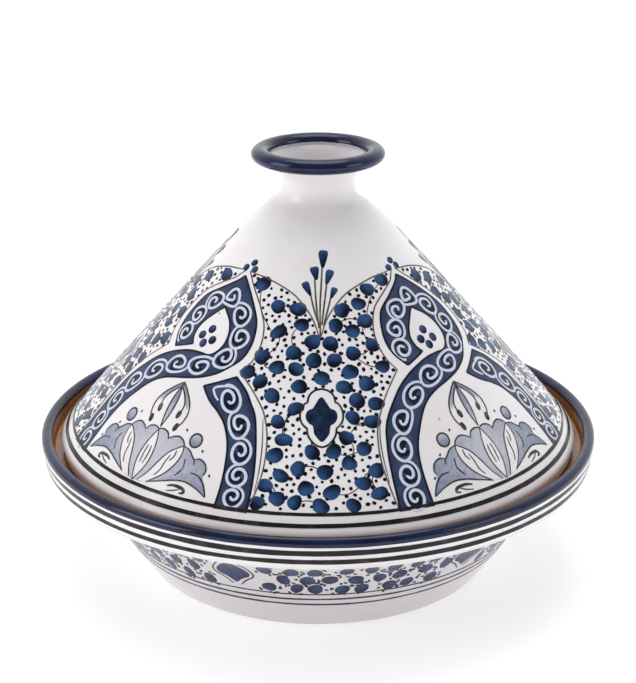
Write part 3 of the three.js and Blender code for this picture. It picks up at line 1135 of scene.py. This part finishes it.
# Where each bud begins, where it ends, and how wide it is there in millimetres
SPRIG_BUDS = [((2, 140.2), (2.8, 150), 4.9), ((-1.6, 133.5), (-3.2, 140.8), 4.6),
              ((-4.4, 124.8), (-7.9, 132.2), 4), ((3.6, 131), (6.4, 138.9), 4.2),
              ((5.4, 123.2), (8, 129), 3.4)]
# How far along a bud, and what part of its width it has there
BUD_FLARE = ((0, 0.22), (0.12, 0.42), (0.3, 0.6), (0.5, 0.8), (0.7, 0.97), (0.85, 1), (0.95, 0.82), (1, 0.5))


def bud(painting, centre, start, end, width, shade):
    """A bud that widens from its stem to a blunt top."""
    radius = CONE.station(start[1])[0]
    run, rise = math.radians(end[0] - start[0]) * radius, end[1] - start[1]
    size = math.hypot(run, rise)
    left, right = [], []
    for t, part in BUD_FLARE:
        reach = part * width / 2
        middle = (centre + start[0], start[1])
        left.append(CONE.off(middle, run * t - rise / size * reach, rise * t + run / size * reach))
        right.append(CONE.off(middle, run * t + rise / size * reach, rise * t - run / size * reach))
    painting.sheet(left, right, 3, shade)


class TAGINE_OT_medallions(bpy.types.Operator):
    """Paint the medallion in each panel and the sprig of five buds above it"""
    bl_idname = "tagine.medallions"
    bl_label = "Medallions and sprigs"

    def execute(self, context):
        brush = context.scene.tagine_brush
        draw = random.Random(13)
        fill, rim = Painting(CONE, SCROLL), Painting(CONE, LINE)
        buds, stems = Painting(CONE, SCROLL), Painting(CONE, WASH)
        for centre in panel_centres():
            middle = (centre + MEDALLION[0], MEDALLION[1])
            for side in (-1, 1):
                for line in MEDALLION_RIM:
                    path = [CONE.off(middle, side * x, y) for x, y in smooth(line, 6)]
                    rim.stroke(path, brush.line / MM, draw.random())
            for line in MEDALLION_FILL:
                curve = smooth(line, 5)
                left = [CONE.off(middle, -x, y) for x, y in curve]
                right = [CONE.off(middle, x, y) for x, y in curve]
                fill.sheet(left, right, 8, 0.35, 0.35)
            for line in SPRIG_STEMS:
                stems.stroke(smooth(at(centre, line), 7), 1.25 * brush.fine_line / MM, draw.random(), 0.15)
            for start, end, width in SPRIG_BUDS:
                bud(buds, centre, start, end, width, draw.random())
        fill.finish("medallions", "leaf_blue", "lid", "lid_glaze")
        rim.finish("medallion_rims", "dark_line", "lid", "lid_glaze")
        buds.finish("sprig_buds", "leaf_blue", "lid", "lid_glaze")
        stems.finish("sprig_stems", "fine_line", "lid", "lid_glaze")
        return {"FINISHED"}


# ---------------------------------------------------------------- the dish's band and the rings

# How far up, in millimetres, and how wide each ring is
LID_RINGS = [(4.6, 2.3), (10.2, 1.8)]
COLLAR_RINGS = [(69.6, 3), (64.4, 2.5)]
BOWL_RINGS = [(26.8, 1.1), (22.6, 1.5), (18.4, 1.3)]


class TAGINE_OT_rings(bpy.types.Operator):
    """Paint the dark rings of the lid's foot, the dish's collar and its bowl"""
    bl_idname = "tagine.rings"
    bl_label = "Rings"

    def execute(self, context):
        lid, collar, bowl = Painting(CONE, LINE + 0.01), Painting(COLLAR, LINE), Painting(BOWL, LINE)
        for number, (along, width) in enumerate(LID_RINGS):
            ring(lid, along, width, 3 + number)
        for number, (height, width) in enumerate(COLLAR_RINGS):
            ring(collar, COLLAR.up_to(height), width, 13 + number, 0.22)
        for number, (height, width) in enumerate(BOWL_RINGS):
            ring(bowl, BOWL.up_to(height), width, 23 + number, 0.25)
        lid.finish("lid_rings", "ring_line", "lid", "lid_glaze")
        collar.finish("collar_rings", "ring_line", "dish", "dish_glaze")
        bowl.finish("bowl_rings", "ring_line", "dish", "dish_glaze")
        return {"FINISHED"}


BAND_LEAVES = 62
BAND_ROWS = [(31, 3.8, 4.5), (38.8, 4.1, 4.6), (46, 4.3, 4.7)]
BAND_MEDALLIONS = 6
BAND_TURN = -20.6
BAND_MIDDLE = 39.5
BAND_MEDALLION = [(0.3, -9.8), (1.8, -8), (3.4, -6), (5.2, -4.4), (8, -2.2), (9, 0.6), (8, 3.6), (6.6, 5.8),
                  (5, 8.2), (2.5, 10.5), (0.3, 12)]
BAND_MEDALLION_REACH = (10, 13)


def off_band_medallion(spot, margin):
    """True if a place on the bowl is clear of the medallions of its band."""
    step = 360 / BAND_MEDALLIONS
    away = (spot[0] - BAND_TURN + step / 2) % step - step / 2
    x = math.radians(away) * BOWL.station(spot[1])[0]
    y = spot[1] - BOWL.up_to(BAND_MIDDLE)
    across, up = (reach + margin for reach in BAND_MEDALLION_REACH)
    return math.hypot(x / across, y / up) > 1


class TAGINE_OT_bowl_band(bpy.types.Operator):
    """Paint the band of leaves round the bowl, under the collar"""
    bl_idname = "tagine.bowl_band"
    bl_label = "Bowl band"

    def execute(self, context):
        brush = context.scene.tagine_brush
        draw = random.Random(14)
        leaves, dots, stems = Painting(BOWL, SCROLL), Painting(BOWL, LINE), Painting(BOWL, WASH)
        rims = Painting(BOWL, LINE)
        for row, (height, half_width, half_height) in enumerate(BAND_ROWS):
            for number in range(BAND_LEAVES):
                theta = (number + 0.5 * (row % 2)) * 360 / BAND_LEAVES + draw.uniform(-0.8, 0.8)
                spot = (theta, BOWL.up_to(height + draw.uniform(-0.7, 0.7)))
                if not off_band_medallion(spot, 4):
                    continue
                half = (half_width * draw.uniform(0.85, 1.1), half_height * draw.uniform(0.85, 1.05))
                leaves.blob(spot, *half, draw.uniform(-15, 15), lumpy(draw), draw.random(),
                            draw.uniform(0, 360), 12)
                for _ in range(6):
                    way = draw.uniform(0, math.tau)
                    mark = BOWL.off(spot, 5.6 * math.cos(way), 6 * math.sin(way))
                    if off_band_medallion(mark, 2.4):
                        dots.blob(mark, 0.75, 1.15, draw.uniform(0, 180), None, draw.random(), 0, 6)
                if draw.random() < 0.6:
                    foot = BOWL.off(spot, draw.uniform(-2, 2), -6)
                    path = resampled([spot, foot], 5)
                    stems.stroke(path, 0.75 * brush.fine_line / MM, draw.random())
        for number in range(BAND_MEDALLIONS):
            middle = (BAND_TURN + 360 / BAND_MEDALLIONS * number, BOWL.up_to(BAND_MIDDLE))
            curve = smooth(BAND_MEDALLION, 5)
            edges = [[BOWL.off(middle, side * x, 0.92 * y) for x, y in curve] for side in (-1, 1)]
            leaves.sheet(*edges, 8, 0.5, 0.5)
            for side in (-1, 1):
                edge = [BOWL.off(middle, side * (x + 1.9), 1.1 * y) for x, y in curve]
                rims.stroke(edge, 0.9 * brush.line / MM, draw.random(), 0.3)
        # the band's leaves and medallions take a blue that is partly painted shade
        leaves.finish("bowl_leaves", "band_blue", "dish", "dish_glaze")
        rims.finish("bowl_medallion_rims", "dark_line", "dish", "dish_glaze")
        dots.finish("bowl_dots", "dot_black", "dish", "dish_glaze")
        stems.finish("bowl_stems", "fine_line", "dish", "dish_glaze")
        return {"FINISHED"}


# ---------------------------------------------------------------- the pot and the studio

class TAGINE_OT_dish(bpy.types.Operator):
    """Turn the dish: foot, bowl, collar, rim and the ledge for the lid"""
    bl_idname = "tagine.dish"
    bl_label = "Dish"

    def execute(self, context):
        dish = turned("dish_body", dish_stretches(), "dish")
        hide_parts("dish")
        return {"FINISHED"}


class TAGINE_OT_lid(bpy.types.Operator):
    """Turn the hollow lid: cone, neck and the knob with its cup"""
    bl_idname = "tagine.lid"
    bl_label = "Lid"

    def execute(self, context):
        lid = turned("lid_body", lid_stretches(), "lid")
        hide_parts("lid")
        return {"FINISHED"}


def area_light(name, place, aim, size, power, tint):
    """A soft rectangular light."""
    lamp = bpy.data.lights.new(name, "AREA")
    lamp.shape = "RECTANGLE"
    lamp.size, lamp.size_y = size
    lamp.energy = power
    lamp.color = tint
    light = bpy.data.objects.new(name, lamp)
    light.location = place
    light.rotation_euler = (Vector(aim) - Vector(place)).to_track_quat("-Z", "Y").to_euler()
    bpy.context.collection.objects.link(light)
    return light


class TAGINE_OT_stage(bpy.types.Operator):
    """Set up the pale table, the soft light and the camera"""
    bl_idname = "tagine.stage"
    bl_label = "Stage"

    def execute(self, context):
        studio = context.scene.tagine_studio
        bpy.ops.object.select_all(action="DESELECT")
        bpy.ops.mesh.primitive_plane_add(size=14)
        table = context.object
        table.name = "table"
        paper = Finish("paper", 0.9)
        paper.feed(paper.shader.inputs["Specular IOR Level"], 0.1)
        paper.paint(paper.mix(ink(246, 246, 248), ink(249, 249, 250), paper.noise(3.0)))
        paper.shader.inputs["Emission Color"].default_value = (1, 1, 1, 1)
        paper.shader.inputs["Emission Strength"].default_value = studio.glow
        table.data.materials.append(paper.material)
        lights = [
            area_light("window", (-2.3, -0.9, 1.05), (0, 0, 0.1), (1.5, 1.5), studio.key, (1, 0.99, 0.98)),
            area_light("side_window", (2.2, -1, 0.95), (0, 0, 0.1), (1.3, 1.3), studio.fill, (0.97, 0.98, 1)),
            area_light("ceiling", (0, 0.5, 2.3), (0, 0, 0.1), (1.5, 1.3), studio.ceiling, (1, 1, 1)),
        ]
        world = bpy.data.worlds.new("daylight")
        world.use_nodes = True
        tree = world.node_tree
        sky = tree.nodes["Background"]
        sky.inputs["Strength"].default_value = studio.daylight
        way = tree.nodes.new("ShaderNodeTexCoord")
        split = tree.nodes.new("ShaderNodeSeparateXYZ")
        back = tree.nodes.new("ShaderNodeMapRange")
        back.inputs["From Min"].default_value = -0.6
        back.inputs["From Max"].default_value = 0.9
        back.inputs["To Min"].default_value = 0.45
        back.inputs["To Max"].default_value = 2.0
        tree.links.new(way.outputs["Generated"], split.inputs[0])
        tree.links.new(split.outputs["Y"], back.inputs["Value"])
        tree.links.new(back.outputs[0], sky.inputs["Color"])
        context.scene.world = world
        lens = bpy.data.cameras.new("camera")
        lens.lens = studio.lens
        lens.sensor_width = 36
        lens.dof.use_dof = False
        camera = bpy.data.objects.new("camera", lens)
        camera.location = (0, -studio.distance, studio.height)
        camera.rotation_euler = (math.pi / 2 - studio.tilt, 0, 0)
        context.collection.objects.link(camera)
        context.scene.camera = camera
        context.scene.view_settings.view_transform = "Standard"
        return {"FINISHED"}


OPERATORS = [TAGINE_OT_stage, TAGINE_OT_dish, TAGINE_OT_lid, TAGINE_OT_rings, TAGINE_OT_ribbons,
             TAGINE_OT_lotuses, TAGINE_OT_leaf_panels, TAGINE_OT_medallions, TAGINE_OT_bowl_band]


class TAGINE_PT_sidebar(bpy.types.Panel):
    """The tagine's settings and its building steps"""
    bl_label = "Tagine"
    bl_idname = "TAGINE_PT_sidebar"
    bl_space_type = "VIEW_3D"
    bl_region_type = "UI"
    bl_category = "Tagine"

    def draw(self, context):
        for group in (context.scene.tagine_brush, context.scene.tagine_colours, context.scene.tagine_studio):
            box = self.layout.box()
            for name in group.bl_rna.properties.keys():
                if name not in ("rna_type", "name"):
                    box.prop(group, name)
        for step in OPERATORS:
            self.layout.operator(step.bl_idname)


GROUPS = {"tagine_brush": TagineBrush, "tagine_colours": TagineColours, "tagine_studio": TagineStudio}


def register():
    for kind in [*GROUPS.values(), *OPERATORS, TAGINE_PT_sidebar]:
        bpy.utils.register_class(kind)
    for name, kind in GROUPS.items():
        setattr(bpy.types.Scene, name, bpy.props.PointerProperty(type=kind))


def unregister():
    for name in GROUPS:
        delattr(bpy.types.Scene, name)
    for kind in reversed([*GROUPS.values(), *OPERATORS, TAGINE_PT_sidebar]):
        bpy.utils.unregister_class(kind)


def main():
    register()
    bpy.ops.tagine.stage()
    bpy.ops.tagine.dish()
    bpy.ops.tagine.lid()
    bpy.ops.tagine.rings()
    bpy.ops.tagine.ribbons()
    bpy.ops.tagine.lotuses()
    bpy.ops.tagine.leaf_panels()
    bpy.ops.tagine.medallions()
    bpy.ops.tagine.bowl_band()


if __name__ == "__main__":
    main()
